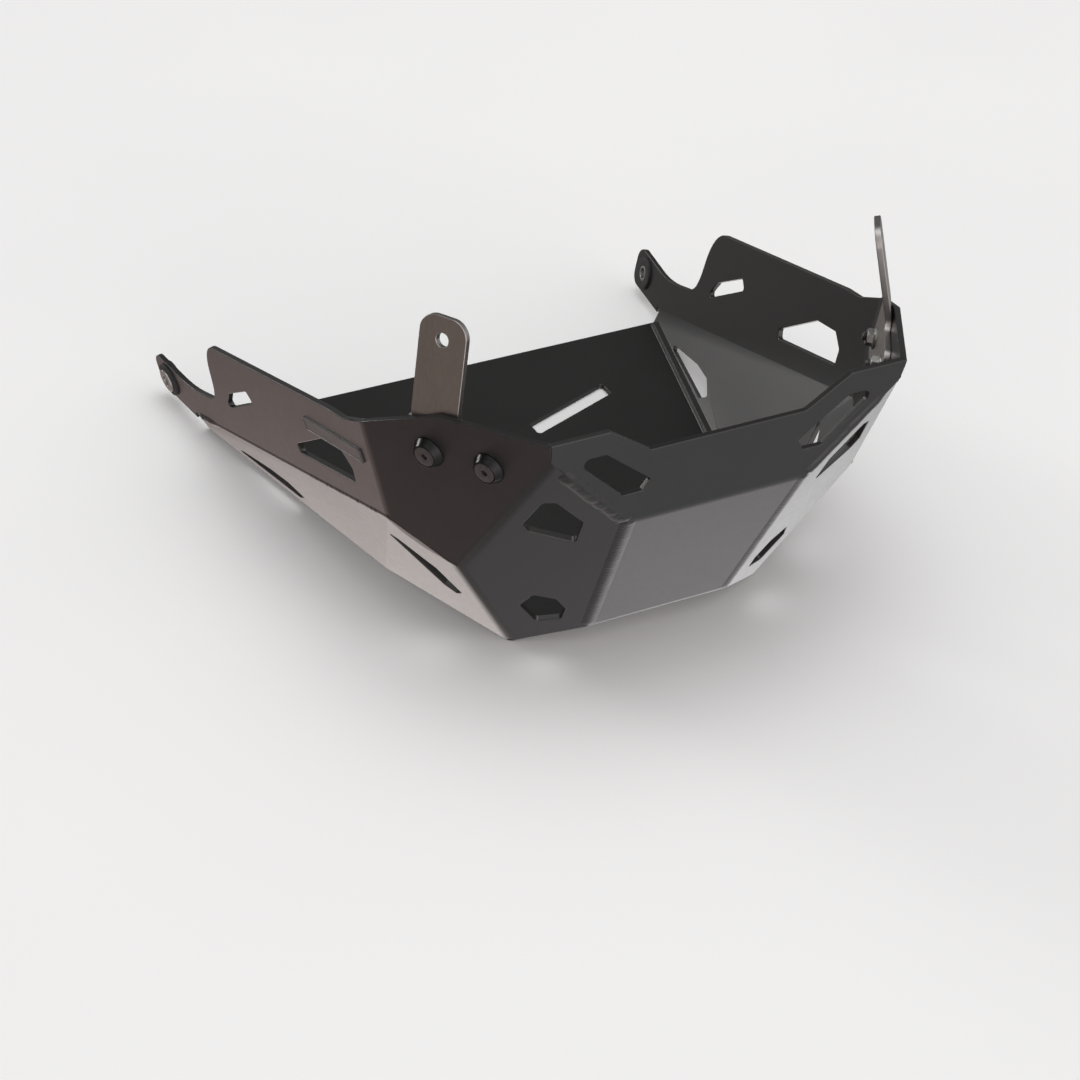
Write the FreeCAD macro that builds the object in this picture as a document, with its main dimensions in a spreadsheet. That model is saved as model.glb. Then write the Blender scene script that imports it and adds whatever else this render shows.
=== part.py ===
import FreeCAD, Part
import os, math
import Sketcher

V = FreeCAD.Vector
doc = FreeCAD.newDocument("engine_guard")

# ---------------------------------------------------------------- sizes (mm)
# Frame: X to the front of the motorbike, Y to its left, Z up.  The flat
# bottom lies on Z = 0; the outline is centred on X = 0, Y = 0.
SIZES = [
    ("sheet_t", 4.0), ("bend_in", 14.0), ("bend_out", 18.0), ("fold_in", 20.0), ("fold_out", 24.0), ("nose_in", 8.0), ("nose_out", 12.0),
    # centre sheet, side profile (outer face)
    ("rim_x", 250.1), ("rim_z", 220.4), ("p1_x", 239.9), ("p1_y", 59.9), ("p1_z", 148.3),
    ("p2_x", 171.0), ("p2_y", 50.4), ("p2_z", 21.1), ("ramp_x", 139.6), ("zero", 0.0),
    ("back_x", -187.0), ("back_end_x", -200.0), ("blank_w", 440.0), ("rim_over_z", 221.2),
    # rim corner and stepped rim of the upper front face
    ("p3_y", 116.3), ("p3b_y", 115.0), ("p3b_z", 208.0), ("step_out_y", 79.7), ("step_in_y", 51.2), ("step_z", 200.1),
    ("trim_y", 230.0), ("trim_z", 260.0),
    # edges of the centre sheet, set back a little from the seams as weld gaps
    ("c1_y", 59.5), ("c2_y", 50.0), ("c3b_y", 114.6), ("c3_y", 115.9), ("c4_y", 90.8), ("cb1_y", 133.0), ("cb2_y", 185.7),
    # two long slots in the upper front face
    ("s1_y", 80.2), ("s1_z", 204.6), ("s2_y", 49.0), ("s2_z", 177.8), ("s3_y", 53.6), ("s3_z", 170.2),
    ("s4_y", 66.5), ("s4_z", 170.0), ("s5_y", 93.2), ("s5_z", 197.2), ("s6_y", 94.2), ("s6_z", 204.3),
    ("slot_r", 2.0), ("slot_end_r", 4.0),
    # bottom openings
    ("drain_x", -34.0), ("drain_d", 46.0), ("vent_x1", -74.0), ("vent_x2", -90.0), ("vent_y1", 30.0), ("vent_y2", 104.0),
    ("vent_x3", -104.0), ("vent_x4", -120.0), ("fvent_x1", 104.0), ("fvent_x2", 84.0), ("fvent_y1", 24.0), ("fvent_y2", 66.0), ("fvent_x3", 84.0), ("fvent_x4", 74.0),
    # side sheet, outer corners (left side)
    ("p4_y", 91.2), ("p5_y", 139.8), ("p5_z", 93.3), ("p3_z", 219.8),
    ("p6_x", 180.8), ("p6_z", 211.1), ("p7_x", 128.7), ("p7_y", 182.9), ("p7_z", 185.2),
    ("p8_x", 129.5), ("p8_z", 112.8), ("flare", 0.14),
    ("b1_x", 31.0), ("b1_y", 133.4), ("b2_y", 186.1),
    ("rim_a_x", 99.8), ("rim_a_z", 171.3), ("rim_b_x", 80.0), ("rim_b_z", 167.4), ("rim_c_x", -108.0), ("rim_c_z", 114.0),
    ("tail_x", -250.0), ("tail_top", 38.0), ("tail_low", 7.0), ("tail_hole_x", -230.0), ("tail_hole_z", 22.5), ("tail_hole_d", 18.0),
    ("hole_r", 2.5),
    # welds
    ("weld_up_r", 6.6), ("weld_up_sink", 4.5), ("weld_up_n", 9), ("weld_lo_r", 4.8), ("weld_lo_sink", 2.7),
    ("weld_fl_r", 2.6), ("weld_fl_sink", 1.2), ("weld_keel_r", 4.0),
    # screws through the front flank
    ("screw1_x", 170.9), ("screw1_z", 181.9), ("screw_gap", 43.2), ("screw_rise", 5.3), ("screw_hole_d", 6.6),
    ("cup_d", 20.6), ("cup_top_d", 15.4), ("cup_h", 5.4), ("cup_sink_d", 14.0), ("cup_bore_d", 6.6),
    ("head_d", 13.4), ("shank_d", 6.0), ("hex_af", 4.0), ("hex_deep", 2.4), ("cup_edge", 0.8), ("cup_sink_z", 1.7), ("head_rim_z", 5.1), ("head_low_z", 1.4), ("shank_end_z", -16.5), ("nut_bore_d", 6.0),
    ("nut_af", 10.0), ("nut_h", 6.0), ("nut_flange_d", 14.2), ("nut_flange_h", 1.4),
    # strap bracket
    ("br_t", 4.0), ("br_left", -15.0), ("br_right", 53.5), ("br_low", -17.0), ("br_bend", 24.0), ("br_lean", 21.0),
    ("br_top_y", -22.2), ("br_top_z", 81.9), ("br_strap_l", -12.6), ("br_strap_r", 20.1), ("br_shoulder", 20.0), ("br_clear", 70.0), ("br_far", 120.0), ("br_hole_up", 48.0), ("br_hole_d", 8.5), ("br_bend_in", 4.0), ("br_bend_out", 8.0), ("br_corner_r", 6.0), ("br_strap_corner_r", 11.0),
    # badge
    ("badge_x", 75.7), ("badge_z", 142.1), ("badge_l", 84.0), ("badge_w", 10.0), ("badge_t", 1.4), ("badge_bevel", 0.6), ("badge_turn", 14.2),
    # tail grommet and sleeve
    ("gr_d", 26.0), ("gr_half", 4.0), ("sl_top", 5.5), ("gr_bore", 12.0), ("sl_bore", 8.5), ("sl_flange_d", 18.0), ("sl_flange_h", 1.5),
]
sheet = doc.addObject("Spreadsheet::Sheet", "dims")
for i, (alias, value) in enumerate(SIZES, start=1):
    sheet.set("A%d" % i, alias)
    sheet.set("B%d" % i, str(value))
    sheet.setAlias("B%d" % i, alias)
doc.recompute()


def D(alias):
    return float(sheet.get(alias))


T = D("sheet_t")


# ---------------------------------------------------------------- helpers
def origin_plane(body, role):
    return [o for o in body.Origin.OriginFeatures if o.Role == role][0]


def new_sketch(body, name, role):
    sk = body.newObject("Sketcher::SketchObject", name)
    sk.AttachmentSupport = [(origin_plane(body, role), "")]
    sk.MapMode = "FlatFace"
    return sk


def num(e):
    sign = -1.0 if e.startswith("-") else 1.0
    e = e.lstrip("-")
    return sign * (D(e[:-2]) / 2.0 if e.endswith("/2") else D(e))


def expr(e):
    return ("-dims." if e.startswith("-") else "dims.") + e.lstrip("-").replace("/2", " / 2")


def fix_point(sk, geo, pos, ex, ey):
    i = sk.addConstraint(Sketcher.Constraint("DistanceX", -1, 1, geo, pos, num(ex)))
    sk.setExpression("Constraints[%d]" % i, expr(ex))
    i = sk.addConstraint(Sketcher.Constraint("DistanceY", -1, 1, geo, pos, num(ey)))
    sk.setExpression("Constraints[%d]" % i, expr(ey))


def polygon(sk, pts):
    n = len(pts)
    first = None
    for k in range(n):
        a, b = pts[k], pts[(k + 1) % n]
        g = sk.addGeometry(Part.LineSegment(V(num(a[0]), num(a[1]), 0), V(num(b[0]), num(b[1]), 0)), False)
        first = g if first is None else first
    for k in range(n):
        sk.addConstraint(Sketcher.Constraint("Coincident", first + k, 2, first + (k + 1) % n, 1))
    for k in range(n):
        fix_point(sk, first + k, 1, pts[k][0], pts[k][1])


def circle(sk, ex, ey, ed):
    g = sk.addGeometry(Part.Circle(V(num(ex), num(ey), 0), V(0, 0, 1), num(ed) / 2.0), False)
    fix_point(sk, g, 3, ex, ey)
    i = sk.addConstraint(Sketcher.Constraint("Diameter", g, num(ed)))
    sk.setExpression("Constraints[%d]" % i, expr(ed))


def through(body, name, sk):
    p = body.newObject("PartDesign::Pocket", name)
    p.Profile = sk
    p.Type = "ThroughAll"
    p.SideType = "Symmetric"
    return p


def edges_at(shape, axis, spots, tol=0.6):
    names = []
    for i, e in enumerate(shape.Edges, start=1):
        if len(e.Vertexes) != 2:
            continue
        d = e.Vertexes[1].Point - e.Vertexes[0].Point
        if d.Length < 1e-6 or abs(abs(d.normalize().dot(axis)) - 1) > 1e-3:
            continue
        m = e.CenterOfMass
        for s in spots:
            r = m - s
            r = r - axis * r.dot(axis)
            if r.Length < tol:
                names.append("Edge%d" % i)
                break
    return names


# ---------------------------------------------------------------- side sheets
def plane3(a, b, c):
    n = (b - a).cross(c - a)
    n.normalize()
    return n if n.y > 0 else n * -1.0


def on_plane(n, p, x=None, y=None, z=None):
    if x is None:
        return V(p.x - (n.y * (y - p.y) + n.z * (z - p.z)) / n.x, y, z)
    return V(x, p.y - (n.x * (x - p.x) + n.z * (z - p.z)) / n.y, z)


slope5 = (D("rim_x") - D("p1_x")) / (D("rim_z") - D("p1_z"))
P1 = V(D("p1_x"), D("p1_y"), D("p1_z"))
P2 = V(D("p2_x"), D("p2_y"), D("p2_z"))
P3b = V(P1.x + slope5 * (D("p3b_z") - P1.z), D("p3b_y"), D("p3b_z"))
n4 = plane3(P1, P2, P3b)
P4 = on_plane(n4, P1, y=D("p4_y"), z=0.0)
P5 = on_plane(n4, P1, y=D("p5_y"), z=D("p5_z"))
P7 = V(D("p7_x"), D("p7_y"), D("p7_z"))
n3 = plane3(P3b, P5, P7)
P3 = on_plane(n3, P5, x=P1.x + slope5 * (D("p3_z") - P1.z), z=D("p3_z"))
P6 = on_plane(n3, P5, x=D("p6_x"), z=D("p6_z"))
P8 = on_plane(n3, P5, x=D("p8_x"), z=D("p8_z"))
n2 = (P8 - P7).cross(V(-1, D("flare"), 0))
n2.normalize()
n2 = n2 if n2.y > 0 else n2 * -1.0
n1b = plane3(P4, P5, P8)
B1 = on_plane(n1b, P4, x=D("b1_x"), z=0.0)
B2 = V(D("back_x"), D("b2_y"), 0.0)
n1a = plane3(P8, B1, B2)
seam = n2.cross(n1a)
S2 = P8 + seam * ((D("back_x") - P8.x) / seam.x)


def f2(x, z):
    return on_plane(n2, P7, x=x, z=z)


def slab(edges_or_pts, n):
    if isinstance(edges_or_pts[0], FreeCAD.Vector):
        wire = Part.makePolygon(edges_or_pts + [edges_or_pts[0]])
    else:
        wire = Part.Wire(edges_or_pts)
    return Part.Face(wire).extrude(n * -T)


def line(a, b):
    return Part.LineSegment(a, b).toShape()


def spline(pts):
    c = Part.BSplineCurve()
    c.interpolate(pts)
    return c.toShape()


def opening(pts, n, radius):
    lift = [p + n * 3.0 for p in pts]
    tool = Part.Face(Part.makePolygon(lift + [lift[0]])).extrude(n * -(T + 8.0))
    walls = [e for e in tool.Edges if abs(abs((e.Vertexes[1].Point - e.Vertexes[0].Point).normalize().dot(n)) - 1) < 1e-4]
    return tool.makeFillet(radius, walls)


def side_sheet():
    corner = slab([P1, P3b, P5, P4, P2], n4)
    front = slab([P3b, P3, P6, P7, P8, P5], n3)
    low_front = slab([P5, P8, B1, P4], n1b)
    low_rear = slab([P8, S2, B2, B1], n1a)
    ra, rb, rc = f2(D("rim_a_x"), D("rim_a_z")), f2(D("rim_b_x"), D("rim_b_z")), f2(D("rim_c_x"), D("rim_c_z"))
    notch = [rc, f2(-121.5, 104.0), f2(-129.0, 86.0), f2(-131.6, 70.0), f2(-138.0, 56.5), f2(-155.0, 48.2), f2(-172.0, 42.6), f2(-188.0, 39.2), f2(-203.0, D("tail_top"))]
    t1, t2 = f2(-238.0, D("tail_top")), f2(D("tail_x"), D("tail_top") - 12.0)
    t3, t4 = f2(D("tail_x"), D("tail_low") + 9.0), f2(-241.0, D("tail_low"))
    t5 = f2(D("back_x") - 5.5, D("tail_low") + 1.0)
    t6 = f2(D("back_x") - 3.5, S2.z + 1.5)
    flank = slab([line(P7, ra), line(ra, rb), line(rb, rc), spline(notch), line(notch[-1], t1),
                  Part.Arc(t1, f2(-246.6, D("tail_top") - 3.6), t2).toShape(), line(t2, t3),
                  Part.Arc(t3, f2(-247.4, D("tail_low") + 2.6), t4).toShape(), line(t4, t5),
                  Part.Arc(t5, f2(D("back_x") - 5.6, S2.z - 0.4), t6).toShape(), line(t6, S2), line(S2, P8), line(P8, P7)], n2)
    body = corner.fuse([front, low_front, low_rear, flank]).removeSplitter()
    return body


def bend_edges(body, a, b, na, nb):
    # outer fold edge a-b and the inner edge lying parallel behind it
    d = (b - a)
    length = d.Length
    d.normalize()
    outer, inner = [], []
    for e in body.Edges:
        if len(e.Vertexes) != 2:
            continue
        q = e.Vertexes[1].Point - e.Vertexes[0].Point
        if q.Length < 0.5 * length or abs(abs(q.normalize().dot(d)) - 1) > 1e-4:
            continue
        r = e.CenterOfMass - a
        r = r - d * r.dot(d)
        if r.Length < 0.01:
            outer.append(e)
        elif r.Length < 2.0 * T and r.dot(na) < -0.5 * T and r.dot(nb) < -0.5 * T:
            inner.append(e)
    return outer, inner


def at4(y, z):
    return on_plane(n4, P1, y=y, z=z)


def at1b(x, z):
    return on_plane(n1b, P4, x=x, z=z)


def at1a(x, z):
    return on_plane(n1a, P8, x=x, z=z)


h3 = V(n3.y, -n3.x, 0)
h3.normalize()
u3 = h3.cross(n3)
W1 = on_plane(n3, P5, x=D("screw1_x"), z=D("screw1_z"))
W2 = W1 + h3 * D("screw_gap") + u3 * D("screw_rise")
TAIL = f2(D("tail_hole_x"), D("tail_hole_z"))

sheet_left = side_sheet()
FOLDS = [(P3b, P5, n3, n4), (P5, P4, n4, n1b), (P7, P8, n2, n3), (P8, B1, n1b, n1a)]
for some in (FOLDS[:3], FOLDS[3:]):
    outer_edges = []
    for fold in some:
        outer_edges += bend_edges(sheet_left, *fold)[0]
    sheet_left = sheet_left.makeFillet(D("bend_out"), outer_edges)
inner_edges = []
for fold in FOLDS[:3]:
    inner_edges += bend_edges(sheet_left, *fold)[1]
sheet_left = sheet_left.makeFillet(D("bend_in"), inner_edges)

HOLE_R = D("hole_r")
cuts = [
    opening([at4(115.3, 143.9), at4(110.0, 166.7), at4(103.0, 167.4), at4(83.5, 146.4), at4(82.1, 124.1), at4(110.4, 136.3)], n4, HOLE_R),
    opening([at4(95.4, 47.5), at4(91.0, 60.7), at4(76.7, 55.5), at4(68.6, 43.5), at4(68.1, 31.3), at4(82.1, 27.6)], n4, HOLE_R),
    opening([f2(6.5, 98.6), f2(55.2, 130.7), f2(83.1, 137.0), f2(93.5, 129.4), f2(93.1, 118.0), f2(8.5, 92.4)], n2, HOLE_R),
    opening([f2(-116.0, 59.0), f2(-102.0, 79.0), f2(-65.0, 101.0), f2(-58.0, 95.0)], n2, HOLE_R),
    opening([at1b(104.2, 83.0), at1b(111.7, 81.8), at1b(131.6, 67.1), at1b(135.6, 45.7), at1b(126.0, 39.1), at1b(117.9, 42.4)], n1b, 1.5),
    opening([at1a(-147.0, 6.5), at1a(-123.5, 12.0), at1a(-88.0, 19.5), at1a(-65.0, 21.0), at1a(-51.0, 14.5), at1a(-62.0, 8.0)], n1a, 1.5),
]
for w in (W1, W2):
    cuts.append(Part.makeCylinder(D("screw_hole_d") / 2.0, T + 8.0, w + n3 * 4.0, n3 * -1.0))
cuts.append(Part.makeCylinder(D("tail_hole_d") / 2.0, T + 8.0, TAIL + n2 * 4.0, n2 * -1.0))
sheet_left = sheet_left.cut(cuts)

left_side = doc.addObject("Part::Feature", "left_side_plate")
left_side.Shape = sheet_left
left_side.Label = "left_side_plate"


def mirrored(name, source):
    m = doc.addObject("Part::Mirroring", name)
    m.Source = source
    m.Normal = V(0, 1, 0)
    m.Base = V(0, 0, 0)
    m.Label = name
    return m


right_side = mirrored("right_side_plate", left_side)
doc.recompute()


# ---------------------------------------------------------------- centre sheet
def bent_strip(sk, outer, t_alias):
    # outer polyline through given points, inner polyline parallel at the sheet thickness
    n = len(outer) - 1
    for k in range(n):
        a, b = outer[k], outer[k + 1]
        sk.addGeometry(Part.LineSegment(V(num(a[0]), num(a[1]), 0), V(num(b[0]), num(b[1]), 0)), False)
    t = D(t_alias)
    pts = [V(num(a), num(b), 0) for a, b in outer]
    nor = []
    for k in range(n):
        d = (pts[k + 1] - pts[k]).normalize()
        nor.append(V(-d.y, d.x, 0) * STRIP_SIDE)
    inner = [pts[0] + nor[0] * t]
    for k in range(1, n):
        m = (nor[k - 1] + nor[k]).normalize()
        inner.append(pts[k] + m * (t / m.dot(nor[k])))
    inner.append(pts[n] + nor[-1] * t)
    for k in range(n):
        sk.addGeometry(Part.LineSegment(inner[k], inner[k + 1]), False)
    c0 = sk.addGeometry(Part.LineSegment(pts[0], inner[0]), False)
    c1 = sk.addGeometry(Part.LineSegment(pts[n], inner[n]), False)
    for k in range(n - 1):
        sk.addConstraint(Sketcher.Constraint("Coincident", k, 2, k + 1, 1))
        sk.addConstraint(Sketcher.Constraint("Coincident", n + k, 2, n + k + 1, 1))
    sk.addConstraint(Sketcher.Constraint("Coincident", c0, 1, 0, 1))
    sk.addConstraint(Sketcher.Constraint("Coincident", c0, 2, n, 1))
    sk.addConstraint(Sketcher.Constraint("Coincident", c1, 1, n - 1, 2))
    sk.addConstraint(Sketcher.Constraint("Coincident", c1, 2, 2 * n - 1, 2))
    for k in range(n):
        fix_point(sk, k, 1, outer[k][0], outer[k][1])
    fix_point(sk, n - 1, 2, outer[n][0], outer[n][1])
    for k in range(n):
        sk.addConstraint(Sketcher.Constraint("Parallel", k, n + k))
        i = sk.addConstraint(Sketcher.Constraint("Distance", n + k, 1, k, t))
        sk.setExpression("Constraints[%d]" % i, "dims." + t_alias)
    sk.addConstraint(Sketcher.Constraint("Perpendicular", c0, 0))
    sk.addConstraint(Sketcher.Constraint("Perpendicular", c1, n - 1))
    return pts, inner


centre_body = doc.addObject("PartDesign::Body", "centre_body")
sk = new_sketch(centre_body, "centre_profile", "XZ_Plane")
STRIP_SIDE = -1.0
PROFILE = [("rim_x", "rim_z"), ("p1_x", "p1_z"), ("p2_x", "p2_z"), ("ramp_x", "zero"), ("back_x", "zero")]
outer_pts, inner_pts = bent_strip(sk, PROFILE, "sheet_t")
doc.recompute()
pad = centre_body.newObject("PartDesign::Pad", "centre_pad")
pad.Profile = sk
pad.SideType = "Symmetric"
pad.setExpression("Length", "dims.blank_w")
doc.recompute()


def rounded(body, name, base, edge_names, alias):
    f = body.newObject("PartDesign::Fillet", name)
    f.Base = (base, edge_names)
    f.setExpression("Radius", "dims." + alias)
    doc.recompute()
    return f


Y = V(0, 1, 0)
spots_out = [V(q.x, 0, q.y) for q in outer_pts[1:-1]]
spots_in = [V(q.x, 0, q.y) for q in inner_pts[1:-1]]
fold = rounded(centre_body, "centre_fold_out", pad, edges_at(pad.Shape, Y, spots_out[:1]), "fold_out")
fold = rounded(centre_body, "centre_fold_in", fold, edges_at(fold.Shape, Y, spots_in[:1]), "fold_in")
fold = rounded(centre_body, "nose_fold_out", fold, edges_at(fold.Shape, Y, spots_out[1:]), "nose_out")
fold = rounded(centre_body, "nose_fold_in", fold, edges_at(fold.Shape, Y, spots_in[1:]), "nose_in")

# front outline: everything outside the two corner seams comes away
sk = new_sketch(centre_body, "front_outline", "YZ_Plane")
for g in ("", "-"):
    polygon(sk, [(g + "c2_y", "p2_z"), (g + "c1_y", "p1_z"), (g + "c3b_y", "p3b_z"), (g + "c3_y", "rim_z"), (g + "c3_y", "trim_z"), (g + "trim_y", "trim_z"), (g + "trim_y", "p2_z")])
through(centre_body, "front_trim", sk)
# bottom outline in plan
sk = new_sketch(centre_body, "plan_outline", "XY_Plane")
for g in ("", "-"):
    polygon(sk, [("p2_x", g + "c2_y"), ("ramp_x", g + "c4_y"), ("b1_x", g + "cb1_y"), ("back_x", g + "cb2_y"), ("back_end_x", g + "cb2_y"), ("back_end_x", g + "trim_y"), ("p2_x", g + "trim_y")])
through(centre_body, "plan_trim", sk)
# stepped rim
sk = new_sketch(centre_body, "rim_step", "YZ_Plane")
polygon(sk, [("step_out_y", "rim_over_z"), ("step_in_y", "step_z"), ("-step_in_y", "step_z"), ("-step_out_y", "rim_over_z"), ("-step_out_y", "trim_z"), ("step_out_y", "trim_z")])
through(centre_body, "rim_cut", sk)
# long slots
sk = new_sketch(centre_body, "slot_outline", "YZ_Plane")
for g in ("", "-"):
    polygon(sk, [(g + "s1_y", "s1_z"), (g + "s2_y", "s2_z"), (g + "s3_y", "s3_z"), (g + "s4_y", "s4_z"), (g + "s5_y", "s5_z"), (g + "s6_y", "s6_z")])
slots = through(centre_body, "slot_cut", sk)
doc.recompute()
X = V(1, 0, 0)
corner = [V(0, g * D(a), D(b)) for g in (1, -1) for a, b in (("s1_y", "s1_z"), ("s2_y", "s2_z"), ("s3_y", "s3_z"), ("s4_y", "s4_z"))]
slots = rounded(centre_body, "slot_corners", slots, edges_at(slots.Shape, X, corner), "slot_r")
corner = [V(0, g * D(a), D(b)) for g in (1, -1) for a, b in (("s5_y", "s5_z"), ("s6_y", "s6_z"))]
slots = rounded(centre_body, "slot_ends", slots, edges_at(slots.Shape, X, corner), "slot_end_r")
# bottom openings: oil drain and water slots
sk = new_sketch(centre_body, "bottom_openings", "XY_Plane")
circle(sk, "drain_x", "zero", "drain_d")
for g in ("", "-"):
    polygon(sk, [("vent_x1", g + "vent_y1"), ("vent_x3", g + "vent_y2"), ("vent_x4", g + "vent_y2"), ("vent_x2", g + "vent_y1")])
    polygon(sk, [("fvent_x1", g + "fvent_y1"), ("fvent_x3", g + "fvent_y2"), ("fvent_x4", g + "fvent_y2"), ("fvent_x2", g + "fvent_y1")])
bottom_cut = through(centre_body, "bottom_cut", sk)
doc.recompute()
Z = V(0, 0, 1)
corner = [V(D(a), g * D(b), 0) for g in (1, -1) for a, b in (("vent_x1", "vent_y1"), ("vent_x2", "vent_y1"), ("vent_x3", "vent_y2"), ("vent_x4", "vent_y2"), ("fvent_x1", "fvent_y1"), ("fvent_x2", "fvent_y1"), ("fvent_x3", "fvent_y2"), ("fvent_x4", "fvent_y2"))]
rounded(centre_body, "bottom_corners", bottom_cut, edges_at(bottom_cut.Shape, Z, corner), "hole_r")

both_sides = doc.addObject("Part::Compound", "both_side_plates")
both_sides.Links = [left_side, right_side]
centre = doc.addObject("Part::Cut", "centre_plate")
centre.Base = centre_body
centre.Tool = both_sides
centre.Label = "centre_plate"
doc.recompute()

# ---------------------------------------------------------------- welds
def ball(p, r):
    return Part.makeSphere(r, p)


def rod(a, b, r):
    return Part.makeCylinder(r, (b - a).Length, a, b - a)


def half_space(n, p):
    box = Part.makeBox(400.0, 400.0, 400.0, V(-200.0, -200.0, -400.0))
    box.Placement = FreeCAD.Placement(p, FreeCAD.Rotation(V(0, 0, 1), n))
    return box


def outside(shape, tools, p, na, nb, least):
    # bead left standing outside the two sheets that meet in the seam
    n = (na + nb).normalize()
    core = half_space(na, p - na * 1.5).common(half_space(nb, p - nb * 1.5))
    rest = shape.cut(tools + [core])
    kept = [q for q in rest.Solids if (q.CenterOfMass - p).dot(n) > least]
    return kept[0] if len(kept) == 1 else Part.makeCompound(kept)


def add_weld(name, shape):
    o = doc.addObject("Part::Feature", name)
    o.Shape = shape
    o.Label = name
    return o


n5 = V(1, 0, -slope5).normalize()
n6 = V(P1.z - P2.z, 0, -(P1.x - P2.x)).normalize()
left_sheet = left_side.Shape
centre_sheet = centre.Shape


def upper_weld(wobble):
    a, b = P3b, P1
    d = (b - a)
    m = (n4 + n5).normalize()
    n = int(D("weld_up_n"))
    r, sink = D("weld_up_r"), D("weld_up_sink")
    first, last = a + d * 0.02, a + d * 0.93
    raw = rod(first - m * sink, last - m * sink, r - 1.3)
    lumps = []
    for k in range(n):
        w = wobble[k % len(wobble)]
        p = first + (last - first) * (k / (n - 1.0)) - m * (sink - 0.25 * w)
        lumps.append(ball(p, r + 0.35 * w))
    raw = raw.fuse(lumps)
    pit = ball(a + d * 0.95 + m * 0.6, 2.0)
    raw = raw.cut(pit)
    return outside(raw, [left_sheet, centre_sheet], P1, n4, n5, -0.8)


def lower_weld():
    a, b = P1, P2
    d = (b - a)
    m = (n4 + n6).normalize()
    r, sink = D("weld_lo_r"), D("weld_lo_sink")
    first, last = a + d * 0.035 - m * sink, a + d * 0.985 - m * sink
    raw = rod(first, last, r).fuse([ball(first, r), ball(last, r)])
    return outside(raw, [left_sheet, centre_sheet], P1, n4, n6, -0.8)


def flank_weld():
    m1 = (n3 + n1b).normalize()
    m2 = (n2 + n1a).normalize()
    r, sink = D("weld_fl_r"), D("weld_fl_sink")
    d1, d2 = (P8 - P5), (S2 - P8)
    runs = []
    for a, b in ((P5 + d1 * 0.12 - m1 * sink, P5 + d1 * 0.88 - m1 * sink), (P8 + d2 * 0.025 - m2 * sink, P8 + d2 * 0.985 - m2 * sink)):
        rest = rod(a, b, r).cut(left_sheet)
        runs.append(max(rest.Solids, key=lambda q: q.Volume))
    return Part.makeCompound(runs)


def keel_weld():
    r = D("weld_keel_r")

    def foot(n, p, x):
        q = on_plane(n, p - n * T, x=x, z=T)
        return q

    a = foot(n1b, P4, D("ramp_x") - 22.0)
    b = foot(n1a, B1, D("b1_x"))
    c = foot(n1a, B1, D("back_x") + 3.0)
    raw = rod(a, b, r).fuse([rod(b, c, r), ball(b, r), ball(a, r)])
    rest = raw.cut([left_sheet, centre_sheet])
    kept = [q for q in rest.Solids if q.CenterOfMass.z > T + 0.4 and q.Volume > 20.0]
    kept = [q for q in kept if (q.CenterOfMass - B1).dot(n1a) < -T]
    return kept[0] if len(kept) == 1 else Part.makeCompound(kept)


WOBBLE = [-0.3, 0.6, -0.7, 0.4, 0.0, 0.7, -0.5, 0.2, -0.2, 0.5]

welds = [
    add_weld("left_upper_weld", upper_weld(WOBBLE)),
    add_weld("left_lower_weld", lower_weld()),
    add_weld("left_flank_weld", flank_weld()),
    add_weld("left_keel_weld", keel_weld()),
]
welds += [mirrored(w.Label.replace("left", "right"), w) for w in welds]
doc.recompute()

# ---------------------------------------------------------------- strap brackets
bracket = doc.addObject("PartDesign::Body", "left_bracket")
bracket.Label = "left_bracket"
sk = new_sketch(bracket, "strap_profile", "YZ_Plane")
STRIP_SIDE = 1.0
br_out, br_in = bent_strip(sk, [("zero", "br_low"), ("zero", "br_bend"), ("br_top_y", "br_top_z")], "br_t")
pad = bracket.newObject("PartDesign::Pad", "strap_pad")
pad.Profile = sk
pad.SideType = "Symmetric"
pad.setExpression("Length", "2 * dims.br_right")
doc.recompute()
f = rounded(bracket, "strap_bend_out", pad, edges_at(pad.Shape, X, [V(0, br_out[1].x, br_out[1].y)]), "br_bend_out")
f = rounded(bracket, "strap_bend_in", f, edges_at(f.Shape, X, [V(0, br_in[1].x, br_in[1].y)]), "br_bend_in")
sk = new_sketch(bracket, "strap_outline", "XZ_Plane")
polygon(sk, [("br_strap_r", "br_shoulder"), ("br_clear", "br_shoulder"), ("br_clear", "br_far"), ("br_strap_r", "br_far")])
polygon(sk, [("br_strap_l", "br_shoulder"), ("br_strap_l", "br_far"), ("-br_clear", "br_far"), ("-br_clear", "-br_clear"), ("br_left", "-br_clear"), ("br_left", "br_shoulder")])
circle(sk, "zero", "zero", "screw_hole_d")
circle(sk, "screw_gap", "screw_rise", "screw_hole_d")
outline = through(bracket, "strap_cut", sk)
doc.recompute()
spots = [V(D("br_right"), 0, D("br_low")), V(D("br_right"), 0, D("br_shoulder")), V(D("br_left"), 0, D("br_low")), V(D("br_strap_r"), 0, D("br_shoulder"))]
f = rounded(bracket, "pad_corners", outline, edges_at(outline.Shape, Y, spots), "br_corner_r")
lean = V(0, br_out[2].x - br_out[1].x, br_out[2].y - br_out[1].y).normalize()
across = V(0, lean.z, -lean.y)
top = V(0, br_out[2].x, br_out[2].y)
f = rounded(bracket, "strap_corners", f, edges_at(f.Shape, across, [top + X * D("br_strap_r"), top + X * D("br_strap_l")]), "br_strap_corner_r")
hole = bracket.newObject("PartDesign::SubtractiveCylinder", "strap_hole")
hole.setExpression("Radius", "dims.br_hole_d / 2")
hole.Height = 40.0
mid = (D("br_strap_r") + D("br_strap_l")) / 2.0
strap_hole_centre = V(mid, br_out[1].x, br_out[1].y) + lean * D("br_hole_up")
hole.Placement = FreeCAD.Placement(strap_hole_centre - across * 20.0, FreeCAD.Rotation(Z, across))
doc.recompute()
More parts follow.
